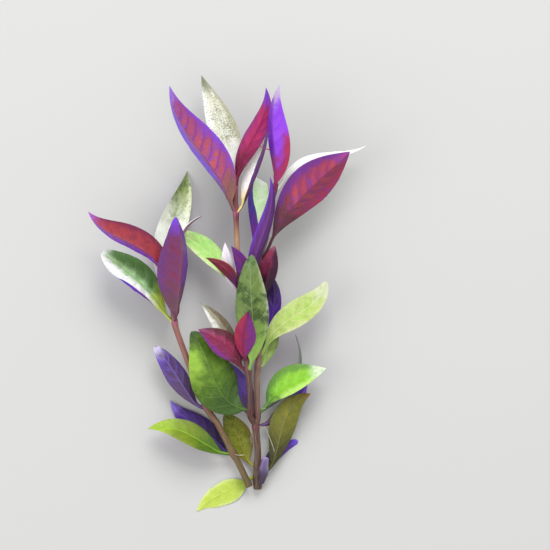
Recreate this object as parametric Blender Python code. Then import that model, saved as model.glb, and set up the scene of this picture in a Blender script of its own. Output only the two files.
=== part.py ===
"""A cut bunch of Alternanthera reineckii, lying on a table.

Two cut stems lie side by side. The right one forks into two branches. Every joint of a stem
carries opposite leaves, each with a short stalk, a raised midrib and a folded blade.
X runs to the right, Y along the stems to their tips, and Z up from the table.
"""
import math

import bmesh
import bpy
from mathutils import Vector

# Driving dimensions, in millimetres and degrees
MM = 0.001
GAP = 0.3
STEM_RADIUS = 1.35
TRUNK_RADIUS = 1.5
BRANCH_RADIUS = 1.25
TIP_TAPER = 0.8
JOINT_SWELL = 0.25
JOINT_SWELL_LENGTH = 2.2
STALK_HALF_WIDTH = 0.7
STALK_SHARE = 0.07
WIDEST_SHARE = 0.47
BLADE_FULLNESS = 0.95
MIDRIB_HALF_THICKNESS = 0.45
FLANK_HALF_THICKNESS = 0.22

# How finely the solids are cut
ROUTE_STEPS = 5
BLADE_SEGMENTS = 10
ACROSS = (-1.0, -0.5, 0.0, 0.5, 1.0)

# Where each stem runs: across, along and height, from its cut end to its tip
LEFT_STEM = [
    (8.6, -78.0, 3.7), (4.4, -69.0, 4.1), (1.8, -64.4, 4.6), (-4.0, -53.0, 7.0),
    (-8.6, -46.0, 8.6), (-13.2, -35.0, 10.5), (-19.2, -19.0, 12.8), (-21.4, -11.6, 13.5),
    (-22.6, 0.0, 14.5), (-23.2, 3.6, 14.8)]
MAIN_STEM = [
    (11.8, -79.0, 2.0), (11.8, -77.0, 2.2), (11.6, -73.6, 2.6), (11.8, -70.0, 3.2),
    (11.8, -62.0, 4.8), (11.0, -53.6, 7.0), (11.0, -51.2, 7.6)]
RIGHT_BRANCH = [
    (11.8, -49.9, 7.6), (11.7, -48.2, 7.9), (11.5, -35.0, 11.3), (11.9, -30.0, 12.7),
    (12.2, -25.2, 13.6), (11.8, -14.0, 14.0), (11.6, -2.8, 14.0), (12.4, 12.4, 15.0),
    (15.2, 26.0, 17.0), (18.6, 41.2, 19.0), (19.2, 44.4, 19.4)]
LEFT_BRANCH = [
    (8.9, -49.4, 9.7), (9.0, -47.0, 10.6), (8.8, -39.0, 13.6), (8.0, -31.2, 16.0),
    (7.7, -27.0, 16.4), (6.2, -12.8, 17.5), (5.0, 1.2, 18.5), (3.8, 17.2, 20.0),
    (3.2, 32.0, 21.0), (3.0, 42.4, 22.0), (3.2, 45.2, 22.3)]

# The places on those routes where leaves grow, as indices into them
LEFT_STEM_JOINTS = (2, 4, 7, 8)
MAIN_STEM_JOINTS = (1, 2, 3, 5)
RIGHT_BRANCH_JOINTS = (1, 3, 4, 6, 7, 9)
LEFT_BRANCH_JOINTS = (1, 3, 4, 6, 8, 9)

# Which side of a blade faces up, which sets the way its halves fold
UPPER = 1
UNDER = -1

# Base colours of the surfaces
PINK_BROWN = (0.42, 0.17, 0.11)
DARK_BROWN = (0.16, 0.08, 0.05)
RED = (0.62, 0.06, 0.08)
VIOLET = (0.28, 0.12, 0.42)
GREEN = (0.30, 0.42, 0.12)
PALE = (0.66, 0.68, 0.50)
YELLOW_GREEN = (0.52, 0.58, 0.14)
OLIVE = (0.26, 0.27, 0.10)


def clear_scene():
    for thing in list(bpy.data.objects):
        bpy.data.objects.remove(thing, do_unlink=True)


def give_surface(piece, colour):
    """One plain material for a piece, in its own base colour."""
    surface = bpy.data.materials.new(piece.name + "_surface")
    surface.use_nodes = True
    shader = surface.node_tree.nodes["Principled BSDF"]
    shader.inputs["Base Color"].default_value = (*colour, 1.0)
    shader.inputs["Roughness"].default_value = 0.5
    shader.inputs["Metallic"].default_value = 0.0
    piece.data.materials.append(surface)


def smooth_route(points, steps):
    """Points on a smooth curve through the given ones."""
    knots = [Vector(point) for point in points]
    knots = [2 * knots[0] - knots[1], *knots, 2 * knots[-1] - knots[-2]]
    route = []
    for a, b, c, d in zip(knots, knots[1:], knots[2:], knots[3:]):
        for step in range(steps):
            t = step / steps
            route.append(0.5 * (2 * b + (c - a) * t + (2 * a - 5 * b + 4 * c - d) * t ** 2
                                + (3 * b - a - 3 * c + d) * t ** 3))
    route.append(knots[-2])
    return route


def stem_radius(place, route, joints, radius):
    """The radius at a place on a stem: thinner to the tip, swollen at each joint."""
    total = len(route) - 1
    share = min(range(len(route)), key=lambda i: (Vector(route[i]) - place).length) / total
    taper = 1.0 - (1.0 - TIP_TAPER) * share
    nearest = min((Vector(route[j]) - place).length for j in joints)
    return radius * taper * (1.0 + JOINT_SWELL * math.exp(-(nearest / JOINT_SWELL_LENGTH) ** 2))


def stem(name, route, joints, radius, colour):
    """A round stem along its route, closed at both ends."""
    centre = smooth_route(route, ROUTE_STEPS)
    thinned = [centre[0]]
    for place in centre[1:-1]:
        if (place - thinned[-1]).length > radius and (place - centre[-1]).length > radius:
            thinned.append(place)
    thinned.append(centre[-1])

    curve = bpy.data.curves.new(name, "CURVE")
    curve.dimensions = "3D"
    curve.bevel_depth = radius * MM
    curve.bevel_resolution = 2
    curve.use_fill_caps = True
    curve.render_resolution_u = 0
    line = curve.splines.new("POLY")
    line.points.add(len(thinned) - 1)
    for point, place in zip(line.points, thinned):
        point.co = (*(place * MM), 1.0)
        point.radius = stem_radius(place, route, joints, radius) / radius
    piece = bpy.data.objects.new(name, curve)
    bpy.context.scene.collection.objects.link(piece)
    give_surface(piece, colour)


def midrib_place(foot, controls, tip, t):
    """A place on the cubic curve that the midrib follows, and its direction there."""
    a, (b, c), d = foot, controls, tip
    place = a * (1 - t) ** 3 + b * 3 * t * (1 - t) ** 2 + c * 3 * t ** 2 * (1 - t) + d * t ** 3
    slope = (b - a) * 3 * (1 - t) ** 2 + (c - b) * 6 * t * (1 - t) + (d - c) * 3 * t ** 2
    return place, slope.normalized()


def half_width(t, width, widest, stalk, blunt):
    """Half the blade's width: a thin stalk, then a long oval, pointed or blunt at its tip."""
    if t <= stalk:
        return STALK_HALF_WIDTH
    share = (t - stalk) / (1 - stalk)
    skew = math.log(0.5) / math.log(widest)
    fullness = BLADE_FULLNESS * (1 - blunt * share ** 2)
    oval = width / 2 * math.sin(math.pi * share ** skew) ** fullness
    return max(oval, STALK_HALF_WIDTH * (1 - share))


def half_thickness(across):
    """Half the blade's thickness: thickest at the midrib and nothing at the margins."""
    if across == 0.0:
        return MIDRIB_HALF_THICKNESS
    return 0.0 if abs(across) == 1.0 else FLANK_HALF_THICKNESS


def blade_section(place, along, reach, roll, fold, curl):
    """The middle surface across the blade at one place, with the way its thickness goes."""
    up = (Vector((0, 0, 1)) - along * along.z).normalized()
    right = along.cross(up)
    normal = up * math.cos(roll) + right * math.sin(roll)
    side = right * math.cos(roll) - up * math.sin(roll)
    section = []
    for across in ACROSS:
        sign = -1 if across < 0 else 1
        turn = fold + curl * abs(across) / 2
        spot = place + reach * abs(across) * (side * sign * math.cos(turn) + normal * math.sin(turn))
        facing = normal * math.cos(turn) - side * sign * math.sin(turn)
        thick = half_thickness(across)
        if spot.z < thick:
            spot.z = thick
            facing = Vector((0, 0, 1))
        section.append((spot, facing * thick))
    return section


def leaf(name, stem_parts, joint, clock, length, heading, bows, heights, width, roll, fold,
         shows, colour, curl=0, widest=WIDEST_SHARE, stalk=STALK_SHARE, blunt=0, twist=0):
    """One leaf: a closed blade from its foot on the stem to its tip.

    clock is where round the stem it grows, 0 at the right and 90 on top. bows are how far
    the midrib bends left, near the foot and near the tip, and heights the same for its
    height above the table, ending at the tip. widest is how far up the blade is widest,
    stalk the share of the length that the stalk takes, and blunt how round the tip is.
    twist is how much further the leaf is rolled at its foot than at its tip.
    """
    route, joints, radius = stem_parts
    index = joints[joint - 1]
    here = Vector(route[index])
    onward = Vector(route[min(index + 1, len(route) - 1)]) - Vector(route[index - 1])
    right = onward.cross(Vector((0, 0, 1))).normalized()
    clear = stem_radius(here, route, joints, radius) + GAP + STALK_HALF_WIDTH
    angle = math.radians(clock)
    foot = here + clear * (right * math.cos(angle) + Vector((0, 0, 1)) * math.sin(angle))

    course = math.radians(heading)
    ahead = Vector((math.cos(course), math.sin(course), 0))
    left = Vector((-ahead.y, ahead.x, 0))
    tip = here + ahead * length
    tip.z = heights[2]
    controls = []
    for share, bow, height in zip((1 / 3, 2 / 3), bows, heights):
        control = foot.lerp(tip, share) + left * bow
        control.z = height
        controls.append(control)

    body = bmesh.new()
    rings = []
    for segment in range(BLADE_SEGMENTS):
        t = segment / BLADE_SEGMENTS
        place, along = midrib_place(foot, controls, tip, t)
        reach = half_width(t, width, widest, stalk, blunt)
        section = blade_section(place, along, reach, math.radians(roll + twist * (1 - t) ** 2),
                                shows * math.radians(fold), shows * math.radians(curl))
        upper = [spot + thick for spot, thick in section]
        lower = [spot - thick for spot, thick in section[1:-1]]
        rings.append([body.verts.new(spot * MM) for spot in upper + lower[::-1]])
    point = body.verts.new(Vector((tip.x, tip.y, max(tip.z, 0.0))) * MM)
    count = len(rings[0])
    for ring, onward_ring in zip(rings, rings[1:]):
        for i in range(count):
            j = (i + 1) % count
            body.faces.new((ring[i], ring[j], onward_ring[j], onward_ring[i]))
    for i in range(count):
        body.faces.new((rings[-1][i], rings[-1][(i + 1) % count], point))
    body.faces.new(rings[0][::-1])
    bmesh.ops.recalc_face_normals(body, faces=body.faces)
    bmesh.ops.triangulate(body, faces=body.faces)

    mesh = bpy.data.meshes.new(name)
    body.to_mesh(mesh)
    body.free()
    mesh.shade_smooth()
    piece = bpy.data.objects.new(name, mesh)
    bpy.context.scene.collection.objects.link(piece)
    give_surface(piece, colour)


def left_stem_leaves():
    """The left stem's leaves, from its lowest joint to its tip."""
    on = (LEFT_STEM, LEFT_STEM_JOINTS, STEM_RADIUS)
    name = "left_stem_leaf_"
    leaf(name + "1", on, 1, 160, 35.5, 164, (-0.8, -7.7), (8, 9, 7), 10.6, 30, 15, UPPER, GREEN)
    leaf(name + "2", on, 1, 215, 33, 140, (-3, 3), (2.6, 1.8, 1), 10, 0, 10, UNDER, VIOLET,
         widest=0.42)
    leaf(name + "3", on, 2, 180, 32.5, 130.5, (1, -1.5), (9, 10, 9), 8.9, 5, 18, UNDER, VIOLET,
         widest=0.5, blunt=0.45)
    leaf(name + "4", on, 2, 320, 17, 82, (0, 0), (5, 2.5, 0), 8, 0, 12, UPPER, GREEN)
    leaf(name + "5", on, 3, 165, 40.5, 136, (-5.5, -1.2), (13.5, 12.5, 11), 13.6, 32, 13, UPPER, GREEN,
         widest=0.55, blunt=0.45)
    leaf(name + "6", on, 3, 80, 42, 89, (-1.2, -4.6), (20, 25, 28), 19, 38, 38, UNDER, RED,
         widest=0.46, stalk=0.05, blunt=0.3)
    leaf(name + "7", on, 3, 270, 28, 93, (0, 0), (9, 4, 0), 7, 0, 15, UPPER, GREEN)
    leaf(name + "8", on, 4, 150, 46.5, 135.5, (-16, 5), (21.5, 21.5, 21), 14.2, -36, 36, UNDER, RED)
    leaf(name + "9", on, 4, 200, 49.5, 83, (10, -2.3), (11.5, 6, 0), 12.7, 15, 20, UPPER, PALE)
    leaf(name + "10", on, 4, 340, 33.5, 68, (1, 10.6), (14.4, 15, 14.6), 7, -84, 22, UPPER, PALE)


def main_stem_leaves():
    """The old leaves round the main stem's foot, and the pair below its fork."""
    on = (MAIN_STEM, MAIN_STEM_JOINTS, TRUNK_RADIUS)
    name = "main_stem_leaf_"
    leaf(name + "1", on, 1, 60, 11.8, 74, (0, 0), (7.4, 7.8, 7), 5.4, 0, 25, UNDER, VIOLET, 30,
         widest=0.38, stalk=0.03, blunt=0.9)
    leaf(name + "2", on, 2, 215, 28.5, 211, (2.5, -3), (0.3, 0, 0), 9.8, 0, 0, UPPER,
         YELLOW_GREEN, widest=0.38, stalk=0.13)
    leaf(name + "3", on, 2, 10, 39.5, 57, (-3.2, 10.5), (5.5, 8.5, 9), 11, 10, 15, UNDER, OLIVE,
         widest=0.56, blunt=0.1)
    leaf(name + "4", on, 2, 325, 21.6, 40, (4, 3.5), (0.8, 0.5, 0), 5.2, 0, 6, UNDER, VIOLET,
         blunt=0.6)
    leaf(name + "5", on, 3, 195, 25, 123, (0.3, -2.6), (1.5, 0.9, 0), 10.6, 0, 8, UNDER, OLIVE,
         widest=0.52, blunt=0.35)
    leaf(name + "6", on, 4, 320, 27, 39, (-4, -2), (3.5, 3, 3), 7.5, 0, 10, UNDER, VIOLET)
    leaf(name + "7", on, 4, 235, 33.5, 120, (-6, -2), (6, 8, 10), 10, 10, 15, UNDER, VIOLET)


def right_branch_leaves():
    """The right branch's leaves, from the fork to its tip."""
    on = (RIGHT_BRANCH, RIGHT_BRANCH_JOINTS, BRANCH_RADIUS)
    name = "right_branch_leaf_"
    leaf(name + "1", on, 1, 5, 33, 33, (7.2, 2.4), (9.6, 10, 10.5), 13.6, -30, 22, UPPER, GREEN,
         widest=0.46, stalk=0.1)
    leaf(name + "2", on, 1, 325, 35.4, 64.7, (-6, -11.3), (5, 4.5, 5), 5.5, 70, 10, UPPER, PALE)
    leaf(name + "3", on, 2, 330, 19, 62, (1.5, 1.5), (9, 8, 7), 6.5, 10, 15, UPPER,
         YELLOW_GREEN)
    leaf(name + "4", on, 3, 0, 40.5, 48, (9.5, -7.3), (13.5, 13, 12), 12, -25, 15, UPPER,
         YELLOW_GREEN, widest=0.52, blunt=0.35)
    leaf(name + "5", on, 3, 332, 34, 83, (0, -6), (12, 10.5, 9), 6.9, 10, 15, UNDER, VIOLET,
         widest=0.58)
    leaf(name + "6", on, 3, 270, 26.5, 97, (0, 0), (7, 4, 0), 12, 0, 12, UPPER, GREEN)
    leaf(name + "7", on, 4, 110, 49.5, 84, (8, -7), (21, 24, 26), 6.5, 20, 25, UNDER, VIOLET)
    leaf(name + "8", on, 4, 30, 23, 72, (0, 0.5), (17.2, 19, 19), 7.4, 0, 12, UNDER, RED,
         widest=0.5, blunt=0.15)
    leaf(name + "9", on, 5, 165, 34.5, 93, (-2, 6), (12, 10, 8), 18, 45, 52, UPPER, PALE,
         widest=0.64, blunt=0.85, twist=60)
    leaf(name + "10", on, 5, 5, 57, 50.5, (9, 2.5), (19.5, 24, 25), 18.8, 18, 27, UNDER, RED,
         widest=0.54, stalk=0.17)
    leaf(name + "11", on, 5, 290, 24, 83, (0.5, 0), (9, 4, 0), 5, 0, 12, UPPER, GREEN)
    leaf(name + "12", on, 6, 90, 42, 87, (-2, 6), (27, 30.2, 30.2), 13, -30, 40, UNDER, VIOLET,
         widest=0.4)
    leaf(name + "13", on, 6, 0, 41, 26, (13, -1.6), (15, 12, 10), 7.6, -65, 12, UPPER, PALE,
         widest=0.37)


def left_branch_leaves():
    """The left branch's leaves, from the fork to its tip."""
    on = (LEFT_BRANCH, LEFT_BRANCH_JOINTS, BRANCH_RADIUS)
    name = "left_branch_leaf_"
    leaf(name + "1", on, 1, 170, 39.5, 127, (9.6, -2.2), (14.5, 17, 15.5), 19.2, 5, 15, UNDER, GREEN,
         widest=0.4, stalk=0.03, blunt=0.35)
    leaf(name + "2", on, 2, 70, 46.5, 88, (-3, 1.7), (21, 24, 26), 13.8, 0, 15, UNDER, GREEN,
         blunt=0.35)
    leaf(name + "3", on, 2, 165, 26, 140, (-4.6, -3.2), (19.5, 21, 20.5), 10.8, 0, 20, UNDER, RED)
    leaf(name + "4", on, 3, 110, 20, 88, (2, 1.5), (22, 26, 29), 10, -15, 25, UNDER, RED,
         widest=0.42)
    leaf(name + "5", on, 3, 190, 30, 129, (-1.5, -2), (15.5, 14.5, 13), 6.8, 10, 20, UPPER, PALE)
    leaf(name + "6", on, 4, 120, 19, 137, (-4, -2.5), (23, 23.5, 22.5), 5, -20, 15, UNDER, RED,
         widest=0.42)
    leaf(name + "7", on, 4, 155, 20, 108, (1, 0.8), (20, 19.5, 19), 5.2, -10, 10, UPPER, PALE)
    leaf(name + "8", on, 4, 60, 18, 102, (-3.5, -3), (22.5, 23.5, 24), 6, 10, 20, UNDER, VIOLET)
    leaf(name + "9", on, 4, 215, 34.5, 137.2, (-3.6, -3.8), (14, 10, 6.5), 9.4, 20, 15, UPPER, GREEN,
         widest=0.55, blunt=0.3)
    leaf(name + "10", on, 5, 130, 57, 117.5, (-6.5, 8), (24, 28, 30), 18, -36, 36, UNDER, RED,
         widest=0.42)
    leaf(name + "11", on, 5, 45, 40, 71, (-1, -4.5), (20, 18.5, 18), 13, -67, 35, UPPER, PALE)
    leaf(name + "12", on, 5, 240, 18, 97, (0, 0), (12, 5, 0), 5, 0, 12, UPPER, GREEN)
    leaf(name + "13", on, 6, 200, 47, 107, (-5.5, -1.2), (18, 14, 10), 13, 10, 18, UPPER, PALE,
         widest=0.36)
    leaf(name + "14", on, 6, 60, 41.5, 73, (6, -7.3), (23.5, 23.5, 22.5), 8.4, -8, 20, UNDER, RED)


def main():
    clear_scene()
    stem("left_stem", LEFT_STEM, LEFT_STEM_JOINTS, STEM_RADIUS, PINK_BROWN)
    stem("main_stem", MAIN_STEM, MAIN_STEM_JOINTS, TRUNK_RADIUS, DARK_BROWN)
    stem("right_branch", RIGHT_BRANCH, RIGHT_BRANCH_JOINTS, BRANCH_RADIUS, DARK_BROWN)
    stem("left_branch", LEFT_BRANCH, LEFT_BRANCH_JOINTS, BRANCH_RADIUS, PINK_BROWN)
    left_stem_leaves()
    main_stem_leaves()
    right_branch_leaves()
    left_branch_leaves()


main()
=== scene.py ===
import math

import bpy
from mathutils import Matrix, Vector


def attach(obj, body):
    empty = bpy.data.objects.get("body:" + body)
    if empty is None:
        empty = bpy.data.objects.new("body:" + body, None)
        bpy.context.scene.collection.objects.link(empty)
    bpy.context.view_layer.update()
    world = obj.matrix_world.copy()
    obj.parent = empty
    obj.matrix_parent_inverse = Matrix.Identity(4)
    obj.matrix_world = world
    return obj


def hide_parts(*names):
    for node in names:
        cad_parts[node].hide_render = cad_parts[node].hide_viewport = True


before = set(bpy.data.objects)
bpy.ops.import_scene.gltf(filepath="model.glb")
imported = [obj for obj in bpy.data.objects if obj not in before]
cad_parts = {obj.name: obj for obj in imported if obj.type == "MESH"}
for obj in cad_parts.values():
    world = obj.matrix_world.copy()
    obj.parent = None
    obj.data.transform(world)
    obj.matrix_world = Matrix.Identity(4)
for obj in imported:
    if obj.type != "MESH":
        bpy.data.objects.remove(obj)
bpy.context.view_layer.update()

# A cut bunch of Alternanthera reineckii lies on a table: two stems, one of them forked, and the
# opposite leaves at their joints. Sizes are in millimetres, and Y runs along the stems to the tips.
MM = 0.001

# Table, lights and camera
# The table top is plain and pale. The main light is a wide soft one beyond the leaf tips, and the
# camera looks straight down, so that the tips are at the top of the picture.
TABLE_SIDE = 4000.0
TABLE_GAP = 0.05
VIEW_SIDE = 220.0
VIEW_MIDDLE = (18.8, 7.2, 15.0)
CAMERA_HEIGHT = 2200.0
SENSOR_WIDTH = 36.0

bpy.ops.mesh.primitive_plane_add(size=TABLE_SIDE * MM, location=(0, 0, -TABLE_GAP * MM))
table = bpy.context.object
table.name = "table_top"
table_paint = bpy.data.materials.new("table_paint")
table_paint.use_nodes = True
table_shader = table_paint.node_tree.nodes["Principled BSDF"]
table_shader.inputs["Base Color"].default_value = (0.60, 0.60, 0.59, 1.0)
table_shader.inputs["Roughness"].default_value = 0.85
table.data.materials.append(table_paint)


def soft_light(name, place, side, power):
    """A square soft light that faces the middle of the bunch, its place and side in metres."""
    lamp = bpy.data.lights.new(name, "AREA")
    lamp.shape = "SQUARE"
    lamp.size = side
    lamp.energy = power
    holder = bpy.data.objects.new(name, lamp)
    bpy.context.scene.collection.objects.link(holder)
    holder.location = place
    holder.rotation_euler = (-Vector(place)).to_track_quat("-Z", "Y").to_euler()


soft_light("light_beyond_tips", (0.15, 1.0, 0.95), 0.8, 13.0)
soft_light("light_from_left", (-1.1, -0.2, 0.9), 1.0, 5.0)
sky = bpy.data.worlds.new("pale_room")
sky.use_nodes = True
sky.node_tree.nodes["Background"].inputs["Color"].default_value = (1.0, 1.0, 1.0, 1.0)
sky.node_tree.nodes["Background"].inputs["Strength"].default_value = 0.72
bpy.context.scene.world = sky
bpy.context.scene.view_settings.view_transform = "Standard"

camera = bpy.data.objects.new("camera", bpy.data.cameras.new("camera"))
bpy.context.scene.collection.objects.link(camera)
camera.location = (VIEW_MIDDLE[0] * MM, VIEW_MIDDLE[1] * MM, CAMERA_HEIGHT * MM)
camera.data.sensor_width = SENSOR_WIDTH
camera.data.lens = SENSOR_WIDTH * (CAMERA_HEIGHT - VIEW_MIDDLE[2]) / VIEW_SIDE
bpy.context.scene.camera = camera

# Left stem
# A round, jointed stem of about 3 mm, cut at its foot. It is living tissue with a thin ribbed
# skin, pink-brown towards the tip and olive lower down, and it swells and reddens at each joint.
STEM_RADIUS = 1.35
TIP_TAPER = 0.8
JOINT_SWELL = 0.25
JOINT_SWELL_LENGTH = 2.2
RING_SPACING = 0.4
RING_SIDES = 28
RIB_HEIGHT = 0.09
RIBS_ROUND = 3
RIBS_PER_MM = 0.06
FOOT_ROUNDING = 0.1
CUT_SHARE = 0.0004
CORE_SHARE = 0.74
WELD_GAP = 0.001
LEFT_STEM = [
    (8.6, -78.0, 3.7), (4.4, -69.0, 4.1), (1.8, -64.4, 4.6), (-4.0, -53.0, 7.0),
    (-8.6, -46.0, 8.6), (-13.2, -35.0, 10.5), (-19.2, -19.0, 12.8), (-21.4, -11.6, 13.5),
    (-22.6, 0.0, 14.5), (-23.2, 3.6, 14.8)]
LEFT_STEM_JOINTS = (2, 4, 7, 8)


class Field:
    """What a node gives out, which can be worked with like a number or a vector."""

    def __init__(self, socket):
        self.socket = socket
        self.tree = socket.id_data
        self.is_vector = socket.type == "VECTOR"

    def work(self, operation, *others):
        vectors = [f for f in (self, *others) if isinstance(f, Field) and f.is_vector]
        kind = "ShaderNodeVectorMath" if vectors else "ShaderNodeMath"
        return add_node(self.tree, kind, self, *others, operation=operation)

    def __add__(self, other):
        return self.work("ADD", other)

    def __sub__(self, other):
        return self.work("SUBTRACT", other)

    def __rsub__(self, other):
        return add_node(self.tree, "ShaderNodeMath", other, self, operation="SUBTRACT")

    def __mul__(self, other):
        if self.is_vector:
            return self.work("SCALE", other)
        return self.work("MULTIPLY", other)

    def __truediv__(self, other):
        return self.work("DIVIDE", other)

    def __rtruediv__(self, other):
        return add_node(self.tree, "ShaderNodeMath", other, self, operation="DIVIDE")

    def __pow__(self, other):
        return self.work("POWER", other)

    def __abs__(self):
        return self.work("ABSOLUTE")

    __radd__ = __add__

    def parts(self):
        return [add_node(self.tree, "ShaderNodeSeparateXYZ", self, output=axis) for axis in "XYZ"]

    def rise(self, low, high):
        """From 0 to 1 as the number goes from low to high, smoothly at both ends."""
        return add_node(self.tree, "ShaderNodeMapRange", self, low, high,
                        interpolation_type="SMOOTHSTEP")


def add_node(tree, kind, *inputs, output=None, **settings):
    """What a new node gives out, first or by name, from its inputs in order and its settings."""
    node = tree.nodes.new(kind)
    for setting, value in settings.items():
        setattr(node, setting, value)
    for socket, value in zip([s for s in node.inputs if s.enabled], inputs):
        if isinstance(value, (Field, list)):
            for field in value if isinstance(value, list) else [value]:
                tree.links.new(field.socket, socket)
        elif value is not None:
            socket.default_value = value
    return Field(node.outputs[output] if output else next(s for s in node.outputs if s.enabled))


def join_numbers(x, y, z):
    """Three numbers, at least one of them a field, as one vector."""
    tree = next(n.tree for n in (x, y, z) if isinstance(n, Field))
    return add_node(tree, "ShaderNodeCombineXYZ", x, y, z)


def new_shape_tree(name, inputs):
    """A geometry tree with its named inputs, and the fields that those give inside it."""
    kinds = {tuple: "NodeSocketVector", float: "NodeSocketFloat", int: "NodeSocketInt",
             type(None): "NodeSocketMaterial"}
    tree = bpy.data.node_groups.new(name, "GeometryNodeTree")
    tree.interface.new_socket("Geometry", in_out="OUTPUT", socket_type="NodeSocketGeometry")
    tree.interface.new_socket("Geometry", in_out="INPUT", socket_type="NodeSocketGeometry")
    for title, value in inputs.items():
        socket = tree.interface.new_socket(title, in_out="INPUT", socket_type=kinds[type(value)])
        if value is not None:
            socket.default_value = value
    entry = tree.nodes.new("NodeGroupInput")
    return tree, {socket.name: Field(socket) for socket in entry.outputs if socket.name}


def end_tree(tree, shape):
    tree.links.new(shape.socket, tree.nodes.new("NodeGroupOutput").inputs[0])


def made_by(tree, name, start, values):
    """The object that a tree makes from a starting mesh, as a plain mesh with no modifier left."""
    piece = bpy.data.objects.new(name, start)
    bpy.context.scene.collection.objects.link(piece)
    modifier = piece.modifiers.new(tree.name, "NODES")
    modifier.node_group = tree
    sockets = {item.name: item.identifier for item in tree.interface.items_tree
               if item.in_out == "INPUT"}
    for title, value in values.items():
        modifier[sockets[title]] = value
    depsgraph = bpy.context.evaluated_depsgraph_get()
    mesh = bpy.data.meshes.new_from_object(piece.evaluated_get(depsgraph), depsgraph=depsgraph)
    piece.modifiers.remove(modifier)
    piece.data = mesh
    mesh.name = name
    return piece


def named(tree, name, kind="FLOAT"):
    """A number or vector that an earlier step kept on the shape under a name."""
    return add_node(tree, "GeometryNodeInputNamedAttribute", name, data_type=kind)


def keep(shape, name, value, kind="FLOAT"):
    return add_node(shape.tree, "GeometryNodeStoreNamedAttribute", shape, None, name, value,
                    data_type=kind)


def smooth_line(given, step):
    """The starting mesh's points as one smooth curve, cut at even steps."""
    line = add_node(step.tree, "GeometryNodeMeshToCurve", given["Geometry"])
    line = add_node(step.tree, "GeometryNodeCurveSplineType", line, spline_type="CATMULL_ROM")
    return add_node(step.tree, "GeometryNodeResampleCurve", line, None, step, mode="LENGTH")


def jointed_stem_tree():
    """A stem along a line of points: swollen joints, fine ribs, a cut foot and a round tip."""
    tree, given = new_shape_tree("Jointed stem", {
        "Joint swell": JOINT_SWELL, "Swell length": JOINT_SWELL_LENGTH * MM,
        "Ring spacing": RING_SPACING * MM, "Sides": RING_SIDES, "Rib height": RIB_HEIGHT * MM,
        "Seed": 1.0, "Skin": None, "Cut face": None})
    line = smooth_line(given, given["Ring spacing"])
    joints = add_node(tree, "GeometryNodeSeparateGeometry", given["Geometry"],
                      named(tree, "joint").work("GREATER_THAN", 0.5), domain="POINT")
    distance = add_node(tree, "GeometryNodeProximity", joints, target_element="POINTS",
                        output="Distance")
    closeness = ((distance / given["Swell length"]) ** 2 * -1).work("EXPONENT")

    girth = named(tree, "girth")
    gone = add_node(tree, "GeometryNodeSplineParameter", output="Length")
    left = add_node(tree, "GeometryNodeSplineLength") - gone
    tip_round = (1 - (1 - (left / girth).work("MINIMUM", 1)) ** 2) ** 0.5
    foot_round = gone / (RING_SPACING * MM) * FOOT_ROUNDING + (1 - FOOT_ROUNDING)
    foot_round = foot_round.work("MINIMUM", 1)
    radius = girth * (1 + given["Joint swell"] * closeness) * tip_round * foot_round

    line = keep(line, "lengthways", add_node(tree, "GeometryNodeSplineParameter"))
    line = keep(line, "closeness", closeness)
    line = keep(line, "place_mm", gone / MM)
    line = keep(line, "tip_round", tip_round)
    ring = add_node(tree, "GeometryNodeCurvePrimitiveCircle", given["Sides"], 1.0)
    place = add_node(tree, "GeometryNodeInputPosition")
    ring = keep(ring, "around", place, "FLOAT_VECTOR")
    tube = add_node(tree, "GeometryNodeCurveToMesh", line, ring, radius, True)

    around = named(tree, "around", "FLOAT_VECTOR").parts()
    running = join_numbers(around[0] * RIBS_ROUND, around[1] * RIBS_ROUND + given["Seed"],
                           named(tree, "place_mm") * RIBS_PER_MM)
    ribs = add_node(tree, "ShaderNodeTexNoise", running, 1.0, 2.0) - 0.5
    rib_height = given["Rib height"] * named(tree, "tip_round")
    out = add_node(tree, "GeometryNodeInputNormal") * (ribs * 2 * rib_height)
    tube = add_node(tree, "GeometryNodeSetPosition", tube, None, None, out)

    cut = named(tree, "lengthways").work("LESS_THAN", CUT_SHARE)
    shape = add_node(tree, "GeometryNodeExtrudeMesh", tube, cut, None, 0.0, False)
    core = Field(shape.socket.node.outputs["Top"])
    shape = keep(shape, "core", core, "BOOLEAN")
    is_core = named(tree, "core", "BOOLEAN")
    shape = add_node(tree, "GeometryNodeScaleElements", shape, is_core, CORE_SHARE)
    shape = add_node(tree, "GeometryNodeMergeByDistance", shape, None, WELD_GAP * MM)
    shape = add_node(tree, "GeometryNodeSetShadeSmooth", shape, None, True)
    shape = add_node(tree, "GeometryNodeRealizeInstances", shape)
    shape = add_node(tree, "GeometryNodeSetMaterial", shape, None, given["Skin"])
    end_tree(tree, add_node(tree, "GeometryNodeSetMaterial", shape, is_core, given["Cut face"]))
    return tree


def new_surface(name):
    """A new material, with its node tree and its Principled shader."""
    surface = bpy.data.materials.new(name)
    surface.use_nodes = True
    return surface, surface.node_tree, surface.node_tree.nodes["Principled BSDF"]


def set_inputs(shader, values):
    for title, value in values.items():
        shader.inputs[title].default_value = value


def paint(code):
    """A colour written as six hexadecimal digits, as linear red, green, blue and alpha."""
    shares = [int(code[i:i + 2], 16) / 255 for i in (0, 2, 4)]
    return (*(s / 12.92 if s <= 0.04045 else ((s + 0.055) / 1.055) ** 2.4 for s in shares), 1.0)


def kept_on_piece(tree, name, output="Fac"):
    """A number or vector that the piece's mesh holds, read by its material."""
    return add_node(tree, "ShaderNodeAttribute", attribute_name=name, output=output)


def mix_colours(tree, share, first, second):
    return add_node(tree, "ShaderNodeMix", share, first, second, data_type="RGBA")


def noise(tree, vector, scale, detail=2.0, rough=0.5):
    return add_node(tree, "ShaderNodeTexNoise", vector, scale, detail, rough)


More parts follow.
